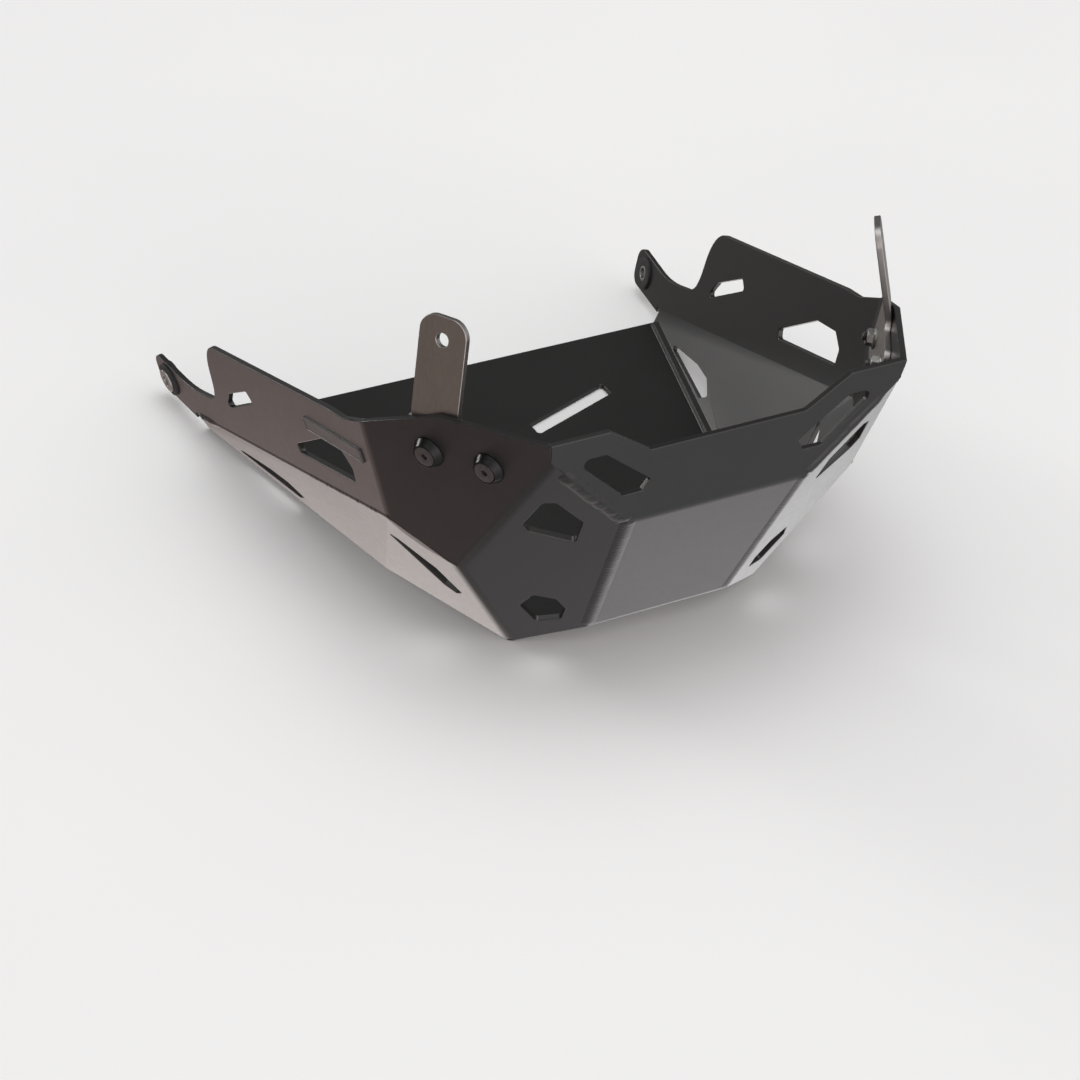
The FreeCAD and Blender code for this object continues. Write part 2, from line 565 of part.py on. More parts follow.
local = FreeCAD.Matrix(h3.x, n3.x, u3.x, 0, h3.y, n3.y, u3.y, 0, h3.z, n3.z, u3.z, 0, 0, 0, 0, 1)
seat = W1 - n3 * T
bracket.Placement = FreeCAD.Placement(seat, FreeCAD.Placement(local).Rotation)
right_bracket = mirrored("right_bracket", bracket)


# ---------------------------------------------------------------- turned pieces
def turned(name, pts):
    body = doc.addObject("PartDesign::Body", name)
    s = new_sketch(body, name + "_profile", "XZ_Plane")
    polygon(s, pts)
    r = body.newObject("PartDesign::Revolution", name + "_turn")
    r.Profile = s
    r.ReferenceAxis = (s, ["V_Axis"])
    r.Angle = 360.0
    doc.recompute()
    return body


cup = turned("cup_washer", [("cup_bore_d/2", "zero"), ("cup_d/2", "zero"), ("cup_d/2", "cup_edge"), ("cup_top_d/2", "cup_h"), ("cup_sink_d/2", "cup_h"), ("cup_bore_d/2", "cup_sink_z")])
screw = turned("flank_screw", [("zero", "cup_h"), ("head_d/2", "cup_h"), ("head_d/2", "head_rim_z"), ("shank_d/2", "head_low_z"), ("shank_d/2", "shank_end_z"), ("zero", "shank_end_z")])
socket = screw.newObject("PartDesign::SubtractivePrism", "hex_socket")
socket.Polygon = 6
socket.setExpression("Circumradius", "dims.hex_af / sqrt(3)")
socket.setExpression("Height", "dims.hex_deep")
socket.Placement = FreeCAD.Placement(V(0, 0, D("cup_h") - D("hex_deep")), FreeCAD.Rotation())
doc.recompute()
nut = turned("flange_nut", [("nut_bore_d/2", "zero"), ("nut_flange_d/2", "zero"), ("nut_flange_d/2", "nut_flange_h"), ("nut_bore_d/2", "nut_flange_h")])
hexa = nut.newObject("PartDesign::AdditivePrism", "nut_hex")
hexa.Polygon = 6
hexa.setExpression("Circumradius", "dims.nut_af / sqrt(3)")
hexa.setExpression("Height", "dims.nut_h")
bore = nut.newObject("PartDesign::SubtractiveCylinder", "nut_bore")
bore.setExpression("Radius", "dims.nut_bore_d / 2")
bore.setExpression("Height", "dims.nut_h")
doc.recompute()
grommet = turned("grommet", [("gr_bore/2", "-gr_half"), ("gr_d/2", "-gr_half"), ("gr_d/2", "-sheet_t/2"), ("tail_hole_d/2", "-sheet_t/2"), ("tail_hole_d/2", "sheet_t/2"), ("gr_d/2", "sheet_t/2"), ("gr_d/2", "gr_half"), ("gr_bore/2", "gr_half")])
sleeve = turned("sleeve", [("sl_bore/2", "-gr_half"), ("gr_bore/2", "-gr_half"), ("gr_bore/2", "gr_half"), ("sl_flange_d/2", "gr_half"), ("sl_flange_d/2", "sl_top"), ("sl_bore/2", "sl_top")])

badge = doc.addObject("PartDesign::Body", "left_badge")
badge.Label = "left_badge"
sk = new_sketch(badge, "badge_outline", "XY_Plane")
polygon(sk, [("badge_l/2", "badge_w/2"), ("-badge_l/2", "badge_w/2"), ("-badge_l/2", "-badge_w/2"), ("badge_l/2", "-badge_w/2")])
pad = badge.newObject("PartDesign::Pad", "badge_pad")
pad.Profile = sk
pad.setExpression("Length", "dims.badge_t")
doc.recompute()
bevel = badge.newObject("PartDesign::Chamfer", "badge_edge")
top_edges = ["Edge%d" % i for i, e in enumerate(pad.Shape.Edges, start=1) if abs(e.CenterOfMass.z - D("badge_t")) < 1e-4]
bevel.Base = (pad, top_edges)
bevel.setExpression("Size", "dims.badge_bevel")
doc.recompute()


def frame(origin, z, x):
    x = (x - z * x.dot(z)).normalize()
    y = z.cross(x)
    m = FreeCAD.Matrix(x.x, y.x, z.x, 0, x.y, y.y, z.y, 0, x.z, y.z, z.z, 0, 0, 0, 0, 1)
    return FreeCAD.Placement(origin, FreeCAD.Placement(m).Rotation)


turn = math.radians(D("badge_turn"))
along2 = f2(10.0, 10.0 * math.tan(turn)) - f2(0.0, 0.0)
badge.Placement = frame(f2(D("badge_x"), D("badge_z")), n2, along2)
right_badge = mirrored("right_badge", badge)


def group(name, body, placements):
    shapes = []
    for q in placements:
        c = body.Shape.copy()
        c.Placement = q
        shapes += [c, c.mirror(V(0, 0, 0), V(0, 1, 0))]
    o = doc.addObject("Part::Feature", name)
    o.Shape = Part.makeCompound(shapes)
    o.Label = name
    return o


flank_spots = [frame(W1, n3, h3), frame(W2, n3, h3)]
nut_spots = [frame(w - n3 * (T + D("br_t")), n3 * -1.0, h3) for w in (W1, W2)]
cups = group("cup_washers", cup, flank_spots)
screws = group("flank_screws", screw, flank_spots)
nuts = group("flange_nuts", nut, nut_spots)
tail_spot = [frame(TAIL - n2 * (T / 2.0), n2, V(1, 0, 0))]
grommets = group("tail_grommets", grommet, tail_spot)
sleeves = group("tail_sleeves", sleeve, tail_spot)
doc.recompute()

# ---------------------------------------------------------------- hand over
NODES = [centre, left_side, right_side] + welds + [bracket, right_bracket, cups, screws, nuts, badge, right_badge, grommets, sleeves]
for o in doc.Objects:
    if "Invalid" in o.State or "Error" in o.State:
        raise RuntimeError("%s is in state %s" % (o.Name, o.State))
os.makedirs("parts", exist_ok=True)
for o in NODES:
    if o.Shape.isNull() or not o.Shape.isValid() or not o.Shape.Solids:
        raise RuntimeError("%s has no valid solid" % o.Name)
for o in NODES:
    b = o.Shape.optimalBoundingBox(False)
    print(o.Label, len(o.Shape.Solids), round(o.Shape.Volume, 1), [round(q, 1) for q in (b.XMin, b.XMax, b.YMin, b.YMax, b.ZMin, b.ZMax)])
    o.Shape.exportStep("parts/%s.step" % o.Label)
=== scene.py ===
import bpy, bmesh, math, random
from mathutils import Vector, Matrix, noise
from mathutils.bvhtree import BVHTree


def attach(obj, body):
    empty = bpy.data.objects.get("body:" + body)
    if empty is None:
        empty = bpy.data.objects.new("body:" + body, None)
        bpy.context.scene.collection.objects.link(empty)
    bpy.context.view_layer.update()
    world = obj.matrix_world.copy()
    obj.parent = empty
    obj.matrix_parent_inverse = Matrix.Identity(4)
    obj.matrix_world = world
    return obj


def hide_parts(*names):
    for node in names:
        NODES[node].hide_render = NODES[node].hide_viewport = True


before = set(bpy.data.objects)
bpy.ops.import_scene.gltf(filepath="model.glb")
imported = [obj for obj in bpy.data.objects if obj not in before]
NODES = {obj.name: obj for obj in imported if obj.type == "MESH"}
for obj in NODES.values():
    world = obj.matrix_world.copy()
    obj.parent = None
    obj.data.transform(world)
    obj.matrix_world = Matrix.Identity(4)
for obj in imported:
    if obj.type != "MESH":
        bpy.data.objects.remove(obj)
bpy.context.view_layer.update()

SCENE = bpy.context.scene
MM = 0.001


def vec(x, y, z):
    return Vector((x * MM, y * MM, z * MM))


# seam corners and outer face normals of the left half; the right half mirrors them in Y
P1, P2 = vec(239.9, 59.9, 148.3), vec(171.0, 50.4, 21.1)
P3B, P5 = vec(248.34577, 115.0, 208.0), vec(170.47486, 139.8, 93.3)
P4, P8 = vec(139.57859, 91.2, 0.0), vec(129.5, 168.3567, 112.8)
B1, S2 = vec(31.0, 133.31801, 0.0), vec(-187.0, 192.70415, 12.65037)
N4 = Vector((0.80182, 0.37829, -0.46257)).normalized()
N3 = Vector((0.51033, 0.84421, -0.16394)).normalized()
N2 = Vector((0.13602, 0.97159, -0.19366)).normalized()
N1B = Vector((0.30937, 0.79755, -0.51789)).normalized()
N1A = Vector((0.20985, 0.86673, -0.45248)).normalized()
N5 = Vector((0.99013, 0.0, -0.14015)).normalized()
N6 = Vector((0.87933, 0.0, -0.47631)).normalized()
H3 = Vector((0.85578, -0.51733, 0.0)).normalized()
W1, W2 = vec(170.9, 156.74863, 181.9), vec(208.31936, 135.14339, 187.12829)
TAIL = vec(-230.0, 200.68745, 22.5)
T = 4.0 * MM


def mirror(v, side):
    return Vector((v.x, v.y * side, v.z))


# ------------------------------------------------------------------ materials
class Graph:
    """Small helper that makes nodes, sets their values and links them."""

    def __init__(self, tree):
        self.tree = tree

    def add(self, kind, **props):
        n = self.tree.nodes.new(kind)
        for k, v in props.items():
            setattr(n, k, v)
        return n

    def put(self, n, **values):
        for k, v in values.items():
            s = n.inputs[k.replace("_", " ")]
            if isinstance(v, bpy.types.NodeSocket):
                self.tree.links.new(v, s)
            else:
                s.default_value = v
        return n

    def noise(self, where, scale, detail=2.0, rough=0.5, distort=0.0):
        n = self.add("ShaderNodeTexNoise")
        self.put(n, Vector=where, Scale=scale, Detail=detail, Roughness=rough, Distortion=distort)
        return n.outputs["Fac"]

    def ramp(self, fac, stops):
        n = self.add("ShaderNodeValToRGB")
        e = n.color_ramp.elements
        while len(e) < len(stops):
            e.new(0.5)
        for k, (pos, col) in enumerate(stops):
            e[k].position = pos
            e[k].color = (*col, 1.0) if len(col) == 3 else col
        self.tree.links.new(fac, n.inputs["Fac"])
        return n.outputs["Color"]

    def span(self, fac, lo, hi, out_lo, out_hi):
        n = self.add("ShaderNodeMapRange")
        self.tree.links.new(fac, n.inputs["Value"])
        n.inputs["From Min"].default_value, n.inputs["From Max"].default_value = lo, hi
        n.inputs["To Min"].default_value, n.inputs["To Max"].default_value = out_lo, out_hi
        return n.outputs["Result"]

    def math(self, op, a, b=None):
        n = self.add("ShaderNodeMath", operation=op)
        for k, v in enumerate((a, b)):
            if v is None:
                continue
            if isinstance(v, bpy.types.NodeSocket):
                self.tree.links.new(v, n.inputs[k])
            else:
                n.inputs[k].default_value = v
        return n.outputs["Value"]

    def bump(self, height, strength, distance, normal=None):
        n = self.add("ShaderNodeBump")
        n.inputs["Strength"].default_value = strength
        n.inputs["Distance"].default_value = distance
        self.tree.links.new(height, n.inputs["Height"])
        if normal is not None:
            self.tree.links.new(normal, n.inputs["Normal"])
        return n.outputs["Normal"]


def material(name):
    m = bpy.data.materials.new(name)
    m.use_nodes = True
    m.node_tree.nodes.clear()
    g = Graph(m.node_tree)
    out = g.add("ShaderNodeOutputMaterial")
    b = g.add("ShaderNodeBsdfPrincipled")
    m.node_tree.links.new(b.outputs["BSDF"], out.inputs["Surface"])
    where = g.add("ShaderNodeTexCoord").outputs["Object"]
    return m, g, b, where


def own_place(g):
    """Position in a turned piece's own axes, kept on its vertices."""
    return g.add("ShaderNodeAttribute", attribute_name="own_place").outputs["Vector"]


def stretched(g, where, scale):
    n = g.add("ShaderNodeMapping")
    g.tree.links.new(where, n.inputs["Vector"])
    n.inputs["Scale"].default_value = scale
    return n.outputs["Vector"]


def coat(name, dark, light, rough_lo, rough_hi, peel, weld=False):
    """Satin powder coat: slight tone drift, mottled gloss, orange peel and fine grain."""
    m, g, b, where = material(name)
    drift = g.noise(where, 7.0, 3.0, 0.55)
    mottle = g.noise(where, 230.0, 4.0, 0.6)
    mix = g.math("ADD", g.math("MULTIPLY", drift, 0.7), g.math("MULTIPLY", mottle, 0.3))
    g.put(b, Base_Color=g.ramp(mix, [(0.32, dark), (0.68, light)]))
    gloss = g.math("ADD", g.math("MULTIPLY", drift, 0.45), g.math("MULTIPLY", mottle, 0.55))
    g.put(b, Roughness=g.span(gloss, 0.3, 0.7, rough_lo, rough_hi))
    skin = g.noise(where, 620.0, 2.0, 0.45)
    grain = g.noise(where, 2600.0, 1.0, 0.5)
    n = g.bump(skin, 0.08 * peel, 0.00018)
    n = g.bump(grain, 0.07 * peel, 0.00008, n)
    if weld:
        n = g.bump(g.noise(where, 700.0, 2.0, 0.5, 0.3), 0.18, 0.00020, n)
    g.put(b, Normal=n)
    b.inputs["IOR"].default_value = 1.5
    return m


COAT = coat("satin_coat", (0.0120, 0.0112, 0.0109), (0.0165, 0.0156, 0.0151), 0.27, 0.34, 1.0)
# lighter coat for the rounded cut edges: a painted edge highlight, the coat's own colour is the same as on the faces
COAT_EDGE_HIGHLIGHT = coat("satin_coat_edge_highlight", (0.0135, 0.0127, 0.0123), (0.0210, 0.0198, 0.0192), 0.25, 0.34, 0.6)
COAT_WELD = coat("satin_coat_weld", (0.0125, 0.0117, 0.0114), (0.0175, 0.0165, 0.0160), 0.28, 0.37, 0.8, weld=True)


def metal(name, lo, hi, rough_lo, rough_hi, brush, strength, metallic=1.0):
    """Metal with fine brushing along one local direction, worn a little lighter in streaks."""
    m, g, b, where = material(name)
    lines = g.noise(stretched(g, where, brush), 1.0, 3.0, 0.6)
    cloud = g.noise(where, 60.0, 3.0, 0.55)
    mix = g.math("ADD", g.math("MULTIPLY", lines, 0.55), g.math("MULTIPLY", cloud, 0.45))
    g.put(b, Base_Color=g.ramp(mix, [(0.3, lo), (0.7, hi)]), Roughness=g.span(mix, 0.3, 0.7, rough_hi, rough_lo))
    g.put(b, Normal=g.bump(lines, strength, 0.00006))
    b.inputs["Metallic"].default_value = metallic
    return m


def turned(name, lo, hi, rough_lo, rough_hi, ring_scale, strength, metallic, shine=0.5):
    """Lathe-turned surface: faint rings round the local Z axis."""
    m, g, b, where = material(name)
    where = own_place(g)
    flat = g.add("ShaderNodeVectorMath", operation="LENGTH")
    g.tree.links.new(stretched(g, where, (1.0, 1.0, 0.0)), flat.inputs[0])
    axial = g.add("ShaderNodeSeparateXYZ")
    g.tree.links.new(where, axial.inputs[0])
    reach = g.math("ADD", flat.outputs["Value"], g.math("MULTIPLY", axial.outputs["Z"], 0.73))
    comb = g.add("ShaderNodeCombineXYZ")
    g.tree.links.new(g.math("MULTIPLY", reach, ring_scale), comb.inputs["X"])
    rings = g.noise(comb.outputs["Vector"], 1.0, 2.0, 0.6)
    cloud = g.noise(where, 240.0, 3.0, 0.6)
    mix = g.math("ADD", g.math("MULTIPLY", rings, 0.4), g.math("MULTIPLY", cloud, 0.6))
    g.put(b, Base_Color=g.ramp(mix, [(0.3, lo), (0.7, hi)]), Roughness=g.span(mix, 0.3, 0.7, rough_lo, rough_hi))
    g.put(b, Normal=g.bump(rings, strength, 0.00005))
    b.inputs["Metallic"].default_value = metallic
    b.inputs["Specular IOR Level"].default_value = shine
    return m


STRAP = metal("satin_steel", (0.30, 0.282, 0.27), (0.40, 0.38, 0.365), 0.34, 0.46, (900.0, 900.0, 26.0), 0.25)
CUP = turned("black_anodised", (0.0034, 0.0033, 0.0033), (0.0064, 0.0062, 0.0061), 0.17, 0.26, 5200.0, 0.18, 0.0, 0.20)
SCREW = turned("black_oxide", (0.040, 0.037, 0.036), (0.068, 0.063, 0.061), 0.34, 0.46, 4200.0, 0.25, 0.35)
ZINC = turned("zinc_plated", (0.34, 0.34, 0.325), (0.46, 0.455, 0.44), 0.30, 0.44, 3600.0, 0.2, 1.0)
BADGE = metal("dark_anodised", (0.030, 0.0285, 0.0278), (0.045, 0.043, 0.042), 0.34, 0.44, (60.0, 2600.0, 2600.0), 0.12, 0.0)


def rubber(name):
    m, g, b, where = material(name)
    where = own_place(g)
    fine = g.noise(where, 1500.0, 3.0, 0.6)
    soft = g.noise(where, 120.0, 3.0, 0.5)
    g.put(b, Base_Color=g.ramp(soft, [(0.3, (0.010, 0.010, 0.010)), (0.7, (0.022, 0.0215, 0.021))]), Roughness=g.span(fine, 0.3, 0.7, 0.58, 0.78))
    g.put(b, Normal=g.bump(fine, 0.3, 0.00012))
    return m


RUBBER = rubber("grommet_rubber")


# ------------------------------------------------------------------ mesh helpers
def put_in(name, mesh, mats, smooth=True):
    o = bpy.data.objects.new(name, mesh)
    SCENE.collection.objects.link(o)
    for m in mats:
        mesh.materials.append(m)
    if smooth:
        mesh.polygons.foreach_set("use_smooth", [True] * len(mesh.polygons))
    return o


def hand_over(o, slot, *nodes):
    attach(o, "root")
    if nodes:
        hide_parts(*nodes)
    return o


def off_line(p, a, b):
    t = max(0.0, min(1.0, (p - a).dot(b - a) / (b - a).length_squared))
    return (p - a - (b - a) * t).length


def eased(node, name, width, segments, mats, slot, limit=28.0, welded=()):
    """The node's own form with its cut edges broken by a small round, except where a weld covers them."""
    bm = bmesh.new()
    bm.from_mesh(NODES[node].data)
    bmesh.ops.remove_doubles(bm, verts=bm.verts, dist=2e-6)
    bmesh.ops.dissolve_limit(bm, angle_limit=math.radians(0.08), use_dissolve_boundaries=False, verts=bm.verts, edges=bm.edges, delimit=set())
    bmesh.ops.recalc_face_normals(bm, faces=bm.faces)
    skin = BVHTree.FromBMesh(bm)
    sharp = [e for e in bm.edges if len(e.link_faces) == 2 and e.calc_face_angle(0.0) > math.radians(limit)]
    sharp = [e for e in sharp if not any(all(off_line(v.co, a, b) < 0.007 for v in e.verts) for a, b in welded)]
    # the rounded edge faces take the second material, which carries the painted edge highlight
    bmesh.ops.bevel(bm, geom=sharp, offset=width, offset_type="OFFSET", segments=segments, profile=0.5, affect="EDGES", clamp_overlap=False, material=1 if len(mats) > 1 else -1)
    for v in bm.verts:
        near, normal, index, gap = skin.find_nearest(v.co)
        close = skin.find_nearest_range(v.co, gap + 2e-6)
        if any((v.co - q[0]).dot(q[1]) > 1e-5 for q in close):
            v.co = near
    bmesh.ops.recalc_face_normals(bm, faces=bm.faces)
    for e in bm.edges:
        if len(mats) > 1 and len(e.link_faces) == 2 and e.calc_face_angle(0.0) > math.radians(9.0) and all(f.material_index == 0 for f in e.link_faces):
            e.smooth = False
    mesh = bpy.data.meshes.new(name)
    bm.to_mesh(mesh)
    bm.free()
    o = put_in(name, mesh, mats)
    w = o.modifiers.new("even_normals", "WEIGHTED_NORMAL")
    w.keep_sharp = True
    w.weight = 50
    return hand_over(o, slot, node)


def rounded_profile(pts, steps=5):
    """Profile points (r, z, corner radius) in mm, corners rounded; returns (r, z) in metres."""
    out = []
    n = len(pts)
    for k in range(n):
        p = Vector(pts[k][:2])
        rad = pts[k][2]
        if rad <= 0.0:
            out.append(p)
            continue
        a = (Vector(pts[k - 1][:2]) - p).normalized()
        b = (Vector(pts[(k + 1) % n][:2]) - p).normalized()
        half = a.angle(b) / 2.0
        reach = rad / math.tan(half)
        centre = p + (a + b).normalized() * (rad / math.sin(half))
        u, w = p + a * reach - centre, p + b * reach - centre
        turn = math.atan2(u.x * w.y - u.y * w.x, u.dot(w))
        for i in range(steps + 1):
            c, d = math.cos(turn * i / steps), math.sin(turn * i / steps)
            out.append(centre + Vector((u.x * c - u.y * d, u.x * d + u.y * c)))
    return [(q.x * MM, q.y * MM) for q in out]


def rings_mesh(name, rings, closed_loop, cap_first=None, cap_last=None):
    """Mesh from rings of equal count; each ring is a list of points."""
    verts, faces = [], []
    n = len(rings[0])
    for r in rings:
        verts += [tuple(p) for p in r]
    count = len(rings)
    last = count if closed_loop else count - 1
    for k in range(last):
        a, b = k * n, ((k + 1) % count) * n
        for i in range(n):
            j = (i + 1) % n
            faces.append((a + i, a + j, b + j, b + i))
    for ring, spot in ((0, cap_first), (count - 1, cap_last)):
        if spot is None:
            continue
        verts.append(tuple(spot))
        c = len(verts) - 1
        for i in range(n):
            j = (i + 1) % n
            faces.append((c, ring * n + j, ring * n + i) if ring == 0 else (c, ring * n + i, ring * n + j))
    mesh = bpy.data.meshes.new(name)
    mesh.from_pydata(verts, [], faces)
    mesh.validate()
    bm = bmesh.new()
    bm.from_mesh(mesh)
    bmesh.ops.recalc_face_normals(bm, faces=bm.faces)
    bm.to_mesh(mesh)
    bm.free()
    return mesh


def circle_ring(radius, z, n):
    return [(radius * math.cos(2 * math.pi * i / n), radius * math.sin(2 * math.pi * i / n), z) for i in range(n)]


def hex_radius(apothem, angle):
    a = (angle % (math.pi / 3.0)) - math.pi / 6.0
    return apothem / math.cos(a)


def axes_at(origin, z, x):
    z = z.normalized()
    x = (x - z * x.dot(z)).normalized()
    y = z.cross(x)
    return Matrix(((x.x, y.x, z.x, origin.x), (x.y, y.y, z.y, origin.y), (x.z, y.z, z.z, origin.z), (0, 0, 0, 1)))


def sharpen(o, degrees):
    o.data.set_sharp_from_angle(angle=math.radians(degrees))


# ------------------------------------------------------------------ folded sheets and straps
FRONT_SEAMS = [(mirror(a, side), mirror(b, side)) for side in (1, -1) for a, b in ((P3B, P1), (P1, P2))]
eased("centre_plate", "centre_sheet", 0.00055, 3, [COAT, COAT_EDGE_HIGHLIGHT], "guard_coat", welded=FRONT_SEAMS)
eased("left_side_plate", "left_side_sheet", 0.00055, 3, [COAT, COAT_EDGE_HIGHLIGHT], "guard_coat")
eased("right_side_plate", "right_side_sheet", 0.00055, 3, [COAT, COAT_EDGE_HIGHLIGHT], "guard_coat")
eased("left_bracket", "left_strap", 0.0005, 3, [STRAP], "strap_steel")
eased("right_bracket", "right_strap", 0.0005, 3, [STRAP], "strap_steel")


# ------------------------------------------------------------------ weld beads
def smooth(t):
    t = max(0.0, min(1.0, t))
    return t * t * (3.0 - 2.0 * t)


def bead(name, stations, across, height, depth=0.0009):
    """Closed bead over a seam. A station is (distance, seam point, dir on face A, dir on face B, normal A, normal B)."""
    rings = []
    for s, p, ta, tb, na, nb in stations:
        ring = []
        for j in range(across + 1):
            v = -1.0 + 2.0 * j / across
            w = smooth((v + 1.0) / 2.0)
            n = (na * (1.0 - w) + nb * w).normalized()
            q = p + (ta * -v if v < 0 else tb * v)
            ring.append(q + n * height(s, v))
        bis = (na + nb).normalized()
        for v in (1.0, 0.5, 0.0, -0.5, -1.0):
            q = p + (ta * -v if v < 0 else tb * v)
            ring.append(q - bis * depth)
        rings.append(ring)
    first = sum((Vector(q) for q in rings[0]), Vector()) / len(rings[0])
    last = sum((Vector(q) for q in rings[-1]), Vector()) / len(rings[-1])
    return rings_mesh(name, rings, False, first, last)


def seam_dirs(d, na, nb, concave=False):
    ta, tb = na.cross(d), nb.cross(d)
    want = 1.0 if concave else -1.0
    if ta.dot(nb) * want < 0:
        ta = -ta
    if tb.dot(na) * want < 0:
        tb = -tb
    return ta.normalized(), tb.normalized()


def straight(a, b, na, nb, half_a, half_b, step):
    d = (b - a).normalized()
    length = (b - a).length
    ta, tb = seam_dirs(d, na, nb)
    n = int(length / step)
    return [(length * i / n, a + d * (length * i / n), ta * half_a, tb * half_b, na, nb) for i in range(n + 1)], length


def scales(rng, length, lo, hi):
    spots = [0.0]
    while spots[-1] < length + hi:
        spots.append(spots[-1] + rng.uniform(lo, hi))
    return spots


def find(spots, q):
    k = 0
    while k + 2 < len(spots) and spots[k + 1] <= q:
        k += 1
    return k, (q - spots[k]) / (spots[k + 1] - spots[k])


def upper_bead(side, seed):
    """Heavy bead of overlapping drops, set mostly on the corner face and soft towards the upper front face."""
    rng = random.Random(seed)
    a, b = mirror(P3B, side), mirror(P1, side)
    a, b = a + (b - a) * 0.125, a + (b - a) * 0.995
    na, nb = mirror(N4, side), N5
    d, length = (b - a).normalized(), (b - a).length
    ta, tb = seam_dirs(d, na, nb)
    bis = (na + nb).normalized()
    turn = math.tan(na.angle(nb) / 2.0)
    strength = 1.0 if side < 0 else 0.5
    drops, at = [], 0.004
    while at < length - 0.002:
        drops.append((at, rng.uniform(0.0012, 0.0030), rng.uniform(0.0044, 0.0058), rng.uniform(0.00055, 0.00092) * strength, rng.uniform(-0.5, 0.5)))
        at += rng.uniform(0.0066, 0.0100)

    def lift(s, x):
        best = 0.0
        for at, off, wide, high, lean in drops:
            u = s - at - lean * (x - off) * 0.4
            if u < -0.0125 or u > 0.006:
                continue
            r = (u / 0.0052) ** 2 if u > 0 else (u / 0.0115) ** 2
            r += ((x - off) / wide) ** 2
            if r < 1.0:
                best = max(best, high * (1.0 - r) ** 0.62)
        return best + 0.00007 * noise.noise(Vector((s * 520.0, x * 520.0, seed)))

    n = int(length / 0.00030)
    span_b = 0.0050
    cols = 54
    rings = []
    for i in range(n + 1):
        s = length * i / n
        p = a + d * s
        end = smooth((s + 0.0004) / 0.013) * smooth((length - s + 0.0004) / 0.003)
        span_a = min(0.0092, 0.0022 + 0.9 * s)
        ring = []
        for j in range(cols + 1):
            x = -span_b + (span_a + span_b) * j / cols
            v = x / (span_a if x > 0 else span_b)
            skirt = max(0.0, 1.0 - v * v)
            base = turn * abs(x) - turn * math.sqrt(x * x + 0.0026 ** 2) + (0.00030 + turn * 0.0026) * skirt ** 1.5
            h = base + lift(s, x) * min(1.0, skirt * 2.5)
            w = smooth((x / 0.004 + 1.0) / 2.0)
            normal = (nb * (1.0 - w) + na * w).normalized()
            ring.append(p + (ta * x if x > 0 else tb * -x) + normal * (h * end - 0.0003 * (1.0 - end) - (0.0001 if abs(v) > 0.995 else 0.0)))
        ring += [p + ta * span_a - na * 0.0009, p + ta * span_a * 0.5 - na * 0.0009, p - bis * 0.0010, p + tb * span_b - nb * 0.0009]
        rings.append(ring)
    first = sum(rings[0], Vector()) / len(rings[0])
    last = sum(rings[-1], Vector()) / len(rings[-1])
    mesh = rings_mesh(("left" if side > 0 else "right") + "_upper_bead", rings, False, first, last)
    return put_in(mesh.name, mesh, [COAT_WELD])


def soft_corner(turn, radius, half, crown, v):
    """Height over a convex corner that leaves both faces smoothly and rounds the corner off."""
    x = abs(v) * half
    dome = max(0.0, 1.0 - v * v) ** 1.5
    return turn * x - turn * math.sqrt(x * x + radius * radius) + (crown + turn * radius) * dome


def lower_bead(side, seed):
    """Low even bead between corner face and lower front face, with fine ripples."""
    rng = random.Random(seed)
    a, b = mirror(P1, side), mirror(P2, side)
    a, b = a + (b - a) * 0.004, a + (b - a) * 0.994
    na, nb = mirror(N4, side), N6
    half = 0.0060
    stations, length = straight(a, b, na, nb, half, half, 0.00036)
    turn = math.tan(na.angle(nb) / 2.0)
    spots = scales(rng, length, 0.0026, 0.0042)
    amp = [rng.uniform(0.00004, 0.00010) for _ in spots]

    def height(s, v):
        end = smooth((s + 0.001) / 0.004) * smooth((length - s) / 0.004)
        q = s + 0.0016 * v * v + 0.0006 * noise.noise(Vector((s * 300.0, v * 2.0, seed)))
        k, u = find(spots, max(q, 0.0))
        dome = max(0.0, 1.0 - v * v)
        fade = 1.0 - 0.5 * smooth((s / length - 0.7) / 0.3)
        swell = 0.00010 * noise.noise(Vector((s * 70.0, 1.0, seed)))
        h = soft_corner(turn, 0.0026, half, 0.00016 + swell, v)
        h += amp[k] * math.sin(math.pi * u) * dome ** 0.8 * fade
        h += 0.00004 * noise.noise(Vector((s * 800.0, v * 6.0, seed))) * dome
        return h * end - 0.0003 * (1.0 - end) - (0.00008 if abs(v) > 0.995 else 0.0)

    mesh = bead(("left" if side > 0 else "right") + "_lower_bead", stations, 40, height)
    return put_in(mesh.name, mesh, [COAT_WELD])


